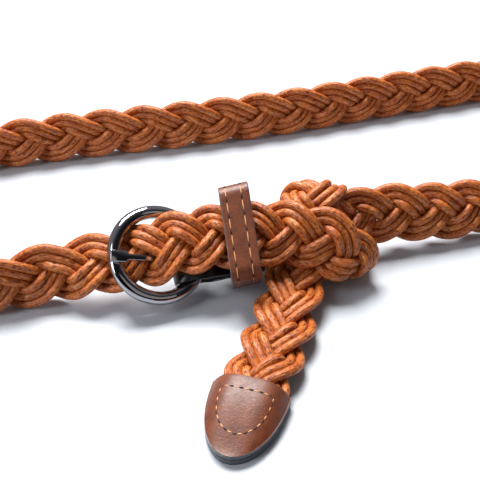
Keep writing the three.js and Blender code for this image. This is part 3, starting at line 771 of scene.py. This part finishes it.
def strip_along(line, steps):
    """Evenly spaced places along a polyline, with its length."""
    line = np.array(line, float)
    length = np.concatenate([[0], np.cumsum(np.linalg.norm(np.diff(line, axis=0), axis=1))])
    at = np.linspace(0, length[-1], steps)
    return np.stack([np.interp(at, length, line[:, k]) for k in range(2)], axis=1), length[-1]


def add_wall(piece, thickness, bevel):
    """Gives a sheet of leather its thickness, with painted and slightly rounded edges."""
    wall = piece.modifiers.new("thickness", "SOLIDIFY")
    wall.thickness = thickness * MM
    wall.offset = 0
    wall.use_even_offset = True
    wall.material_offset_rim = 1
    rounding = piece.modifiers.new("rounding", "BEVEL")
    rounding.width = bevel * MM
    rounding.segments = 3
    rounding.limit_method = "ANGLE"
    rounding.angle_limit = math.radians(50)


tab_height = 19.5
tab_fold_height = 14.6
tab_drop = -2.65
tab_fold_drop = -3.8
tab_back = 1.5
tab_reach = 5.3
tab_reach_start = -3
tab_curl = math.radians(30)
tab_curl_start = -2
tab_curl_radius = 19.9
tab_fold_end = wire_along + 9.5
tab_sleeve_start = 35.4
tab_curl_end = 5
tab_sleeve_rise = 3.6


def tab_share(along):
    """How far a place of the tab is on the way from the ring to the end of its fold."""
    return min(max((along - wire_along) / (tab_fold_end - wire_along), 0), 1)


def tab_place(along, behind, level):
    """A point of the tab, whose lower part curls to the front between the ring and the sleeve."""
    share = min(tab_share(along), max((tab_sleeve_start - along) / tab_curl_end, 0.001))
    angle = share * max(0, min(tab_curl, (tab_curl_start - level) / tab_curl_radius))
    if angle == 0:
        return leaned(along, tab_back + behind, level)
    radius = tab_curl_radius / share
    back = tab_back - radius * (1 - math.cos(angle)) + behind * math.cos(angle)
    return leaned(along, back, tab_curl_start - (radius + behind) * math.sin(angle))


def tab(face, edge):
    """The tab: a strip folded round the ring, sewn flat, then open round the end of the braid. Its
    lowest rows are painted, as its edges are."""
    fold_room = 1.4
    seam_gap = 0.2
    front_room, back_room = 2.7, 6.1
    fold_radius = wire_size / 2 + fit_gap + fold_room + leather / 2
    sewn = (leather + seam_gap) / 2
    front_sleeve, back_sleeve = front_room + leather / 2, back_room + leather / 2
    sleeve_opens = tab_sleeve_start + 1.2
    sleeve_full = tab_sleeve_start + 2.4
    sleeve_end = tab_sleeve_start + 4.6
    turn_start, turn_sweep = -0.42 * math.pi, -1.16 * math.pi
    turn_steps = 16
    turn_end = wire_along + fold_radius * math.cos(turn_start)
    turn_open = -fold_radius * math.sin(turn_start)
    closing_start = 3.5
    front_leg = [
        (sleeve_end, -front_sleeve),
        (sleeve_full, -front_sleeve),
        (sleeve_opens, -1.3),
        (tab_sleeve_start, -sewn),
        (tab_fold_end, -sewn),
    ]
    back_leg = [
        (tab_fold_end, sewn),
        (tab_sleeve_start, sewn),
        (sleeve_opens, 2.4),
        (sleeve_full, back_sleeve),
        (sleeve_end, back_sleeve),
    ]
    turn = []
    for i in range(turn_steps + 1):
        angle = turn_start + turn_sweep * i / turn_steps
        behind = wire_back - tab_back + fold_radius * math.sin(angle)
        turn.append((wire_along + fold_radius * math.cos(angle), behind))
    columns = 140
    rows = 13
    painted_rows = 2
    middle, _ = strip_along(front_leg + turn + back_leg, columns)
    bm = bmesh.new()
    bmesh.ops.create_grid(bm, x_segments=columns - 1, y_segments=rows, size=0.5)
    for cell in bm.faces:
        if cell.calc_center_median().y < painted_rows / rows - 0.5:
            cell.material_index = 1

    def place(x, y, z):
        column = int(round((x + 0.5) * (columns - 1)))
        along, behind = middle[column]
        share = tab_share(along)
        height = tab_fold_height + (tab_height - tab_fold_height) * share
        level = height * y + tab_fold_drop + (tab_drop - tab_fold_drop) * share
        level += tab_sleeve_rise * (0.5 - y) * min(max((along - tab_sleeve_start) / 2, 0), 1)
        low = min(max((tab_reach_start - level) / 5, 0), 1)
        low = low * low * (3 - 2 * low)
        reach = tab_reach * (1 - share) * low
        left_open = min(max((tab_fold_end - along) / (tab_fold_end - turn_end), 0), 1)
        closed = low * min(max((along - turn_end - closing_start) / 3, 0), 1)
        behind -= math.copysign((turn_open - sewn) * left_open * closed, behind)
        return Vector((along - reach, behind - reach * math.tan(ring_turn), level))

    reshape(bm, place)
    slot_height = 5.2
    slot_end = wire_along + 5.5
    slot_level = prong_level - 0.8 * wire_along * math.sin(prong_slope)
    in_slot = []
    for cell in bm.faces:
        centre = cell.calc_center_median()
        if centre.x < slot_end and abs(centre.z - slot_level) < slot_height / 2:
            in_slot.append(cell)
    bmesh.ops.delete(bm, geom=in_slot, context="FACES")
    reshape(bm, lambda x, y, z: Vector(tab_place(x, y, z)))
    piece = add_piece("tab_strap", to_mesh(bm, "tab_strap"), [face, edge], "tab")
    add_wall(piece, leather, bevel=0.3)
    return piece


keeper_width = 10
keeper_height = 32.1
keeper_depth = 21.9
keeper_start = 22.8
keeper_middle = -3.3
keeper_bottom = -16.1
keeper_wall = 1.8
keeper_corner = 4
keeper_turn = math.radians(11.8)
keeper_tilt = 0.094


def keeper_line(offset, steps):
    """The keeper's closed outline seen along the strap, offset inwards, as evenly spaced places, with
    its length."""
    a = keeper_depth / 2 - keeper_corner
    b = keeper_height / 2 - keeper_corner
    radius = keeper_corner - offset
    corners = ((a, -b), (a, b), (-a, b), (-a, -b))
    corner_steps = 8
    points = []
    for number, (x, y) in enumerate(corners):
        for i in range(corner_steps + 1):
            angle = -math.pi / 2 + (number + i / corner_steps) * math.pi / 2
            points.append((x + radius * math.cos(angle), y + radius * math.sin(angle)))
    points.append(points[0])
    return strip_along(points, steps)


def keeper_place(along, back, up):
    """A point of the keeper, which is turned and tilted a little on the strap."""
    turn_cos, turn_sin = math.cos(keeper_turn), math.sin(keeper_turn)
    x = keeper_start + along * turn_cos + back * turn_sin + up * keeper_tilt
    v = keeper_middle + back * turn_cos - along * turn_sin
    return leaned(x, v, keeper_bottom + keeper_height / 2 + up)


def keeper(face, edge):
    """The keeper: a closed loop of leather round the free end and the tab."""
    steps = 161
    line, _ = keeper_line(keeper_wall / 2, steps)
    rows = 12
    bm = bmesh.new()
    bmesh.ops.create_grid(bm, x_segments=steps - 1, y_segments=rows, size=0.5)

    def place(x, y, z):
        column = int(round((x + 0.5) * (steps - 1)))
        return Vector(keeper_place((y + 0.5) * keeper_width, *line[column]))

    reshape(bm, place)
    bmesh.ops.remove_doubles(bm, verts=bm.verts, dist=0.01)
    bmesh.ops.recalc_face_normals(bm, faces=bm.faces)
    piece = add_piece("keeper", to_mesh(bm, "keeper"), [face, edge], "keeper_loop")
    add_wall(piece, keeper_wall, bevel=0.35)
    return piece


def tip_place(along, across, level):
    """A point of the tip, by its place from the mouth and from the middle line."""
    x = tip_mouth[0] + tip_heading[0] * along - tip_heading[1] * across
    y = tip_mouth[1] + tip_heading[1] * along + tip_heading[0] * across
    return (x, y, level)


def tip_sheet(name, level, thickness, face, edge, node):
    """One leather layer of the tip. level gives the height of its middle by share and side."""
    rows, columns = 40, 36
    bm = bmesh.new()
    bmesh.ops.create_grid(bm, x_segments=rows, y_segments=columns, size=0.5)

    def place(x, y, z):
        share = math.sin(0.5 * math.pi * (x + 0.5))
        side = 2 * y
        across = side * tip_half_width(share)
        return Vector(tip_place(share * tip_length, across, level(share, side)))

    reshape(bm, place)
    bmesh.ops.recalc_face_normals(bm, faces=bm.faces)
    if sum(cell.normal.z for cell in bm.faces) < 0:
        bmesh.ops.reverse_faces(bm, faces=bm.faces)
    piece = add_piece(name, to_mesh(bm, name), [face, edge], node)
    add_wall(piece, thickness, bevel=0.3)
    return piece


def tip_top_level(share, side):
    """The height of the middle of the tip's upper layer."""
    return tip_base + fit_gap + leather / 2 + tip_rise * float(tip_dome(share, side))


def add_stitches(name, threads, holes, materials):
    """A row of stitches: threads, and at the holes small dark flat ovals that are painted shade for the
    hollow of each hole. Threads and holes are each a list of places, which are a middle, a direction
    and the way out, and one size for all: length, width and height."""
    bm = bmesh.new()
    for slot, (places, size) in enumerate((threads, holes)):
        for middle, heading, outward in places:
            heading = Vector(heading).normalized()
            outward = Vector(outward).normalized()
            turned = Matrix((heading, outward.cross(heading), outward)).transposed()
            ball = bmesh.ops.create_uvsphere(bm, u_segments=8, v_segments=6, radius=0.5)["verts"]
            for cell in {cell for vert in ball for cell in vert.link_faces}:
                cell.material_index = slot
            bmesh.ops.scale(bm, verts=ball, vec=size)
            bmesh.ops.transform(bm, verts=ball, matrix=turned.to_4x4())
            bmesh.ops.translate(bm, verts=ball, vec=Vector(middle))
    return add_piece(name, to_mesh(bm, name), materials)


def keeper_stitches(materials):
    """Two rows round the keeper, near its edges."""
    insets = (2.2, keeper_width - 2.7)
    pitch = 5.2
    thread_size = (3.6, 0.42, 0.336)
    # The holes are dark flat ovals a little proud of the leather: painted shade for the hollow of each
    # hole.
    hole_shade_size = (1.3, 0.85, 0.2)
    fine_steps = 720
    fine, total = keeper_line(0, fine_steps + 1)
    count = int(total / pitch)
    for row, along in enumerate(insets):

        def place(share):
            at = int(share * fine_steps) % fine_steps
            here = np.array(keeper_place(along, *fine[at]))
            heading = np.array(keeper_place(along, *fine[at + 1])) - here
            return here, heading, np.cross(heading, np.array([1.0, 0, 0]))

        threads = [place((i + 0.5) / count) for i in range(count)]
        holes = [place(i / count) for i in range(count)]
        name = f"keeper_stitches_{row + 1}"
        add_stitches(name, (threads, thread_size), (holes, hole_shade_size), materials)


def tip_stitches(materials):
    """One closed row on the tip, shaped as a shield."""
    inset = 4.1
    top = 4.6
    pitch = 2.95
    thread_size = (1.5, 0.45, 0.36)
    # The holes are dark flat ovals a little proud of the leather: painted shade for the hollow of each
    # hole.
    hole_shade_size = (1.5, 0.75, 0.2)
    last = tip_length - 6.5
    top_half = tip_half_width(top / tip_length) - inset
    outline = [(top, side) for side in np.linspace(-top_half, top_half, 30)]
    along = np.linspace(top, last, 60)
    half = (tip_width / 2 - inset) * np.sqrt(np.maximum(1 - ((along - top) / (last - top)) ** 2.6, 0))
    outline += list(zip(along, half))
    outline += list(zip(along[::-1], -half[::-1]))
    outline.append(outline[0])
    fine_steps = 1200
    fine, total = strip_along(outline, fine_steps + 1)
    count = int(round(total / pitch))

    def on_top(i):
        along, across = fine[int(i) % fine_steps]
        share = along / tip_length
        side = across / tip_half_width(share)
        return np.array(tip_place(along, across, tip_top_level(share, side) + leather / 2))

    def place(share):
        at = share * fine_steps
        here = on_top(at)
        return here, on_top(at + 2) - here, (0, 0, 1)

    threads = [place((i + 0.5) / count) for i in range(count)]
    holes = [place(i / count) for i in range(count)]
    add_stitches("tip_stitches", (threads, thread_size), (holes, hole_shade_size), materials)


# Light and floor


def make_floor():
    """A matt sheet of card."""
    half_size = 3000
    bm = bmesh.new()
    bmesh.ops.create_grid(bm, x_segments=1, y_segments=1, size=half_size)
    floor = bpy.data.objects.new("floor", to_mesh(bm, "floor"))
    bpy.context.collection.objects.link(floor)
    material, _, shader = new_material("white_card", Roughness=0.5)
    shader.inputs["Base Color"].default_value = linear("#bcc2ca")
    floor.data.materials.append(material)


def add_light(name, place, target, size, power, colour):
    """A softbox, given in millimetres of the drawing."""
    data = bpy.data.lights.new(name, "AREA")
    data.shape = "RECTANGLE"
    data.size, data.size_y = (side * MM for side in size)
    data.energy = power
    data.color = linear(colour)[:3]
    light = bpy.data.objects.new(name, data)
    start, end = Vector(in_metres(place)), Vector(in_metres(target))
    light.location = start
    light.rotation_euler = (end - start).to_track_quat("-Z", "Y").to_euler()
    bpy.context.collection.objects.link(light)


def make_light():
    """A softbox above and behind, a weaker one on the left, a very weak fill at the front, and a pale
    room that is darker towards the camera."""
    world = bpy.data.worlds.new("studio")
    world.use_nodes = True
    bpy.context.scene.world = world
    tree = world.node_tree
    background = tree.nodes["Background"]
    way = add_node(tree, "TexCoord").outputs["Generated"]
    split = add_node(tree, "SeparateXYZ", {0: way})
    depth = add_node(tree, "MapRange", {0: split.outputs["Y"], 1: -0.9, 2: 0.3, 3: 0.0, 4: 1.0})
    shade = add_node(tree, "ValToRGB", {0: depth.outputs[0]})
    set_stops(shade, [(0.0, "#141418"), (0.45, "#4a4b50"), (1.0, "#f4f6ff")])
    tree.links.new(shade.outputs[0], background.inputs["Color"])
    background.inputs["Strength"].default_value = 0.34
    middle = (40, 0, 0)
    add_light("top_softbox", (20, 420, 760), middle, (520, 340), 17, "#fffdfa")
    add_light("left_softbox", (-620, -120, 420), middle, (260, 700), 3.2, "#fbfcff")
    add_light("front_fill", (160, -700, 520), middle, (700, 500), 0.5, "#fff8f0")


make_camera()
route = lay_route()
cords = lay_cords(route)
settle(cords)
cotton = waxed_cotton()
metal = gunmetal()
brown = leather_finish("brown_leather", "#5f2b12", "#7a3c1c", 0.25)
# A darker copy of the brown leather for the tab. Its darkness is painted shade for the shadow that the
# braid casts over the tab.
shaded_brown = leather_finish("brown_leather_painted_shade", "#2e1410", "#431f16", 0.2)
black_paint = edge_paint("black_edge_paint", "#17171a")
# Black edge paint given a grey colour: a painted reflection of the pale room on the glossy edges of the
# keeper and the tip.
painted_reflection_edge = edge_paint("grey_edge_paint_painted_reflection", "#50555c")
pale_thread = stitch_finish("pale_thread", "#d9a06c", 0.45)
# Dark material of the ovals at the stitch holes: painted shade, standing in for the shade inside each
# hole.
hole_shade = stitch_finish("stitch_hole_painted_shade", "#200d06", 0.8)
stitching = [pale_thread, hole_shade]
for number in range(strand_count):
    own = cords[cords_per_strand * number : cords_per_strand * (number + 1)]
    strand(number, [finer(cord) for cord in own], cotton)
ring(metal)
prong(metal)
tab(shaded_brown, black_paint)
keeper(brown, painted_reflection_edge)
tip_sheet("tip_under", lambda share, side: tip_base / 2, tip_base, brown, painted_reflection_edge, "tip_base")
tip_sheet("tip_over", tip_top_level, leather, brown, painted_reflection_edge, "tip_top")
keeper_stitches(stitching)
tip_stitches(stitching)
make_floor()
make_light()
bpy.context.scene.view_settings.view_transform = "Standard"
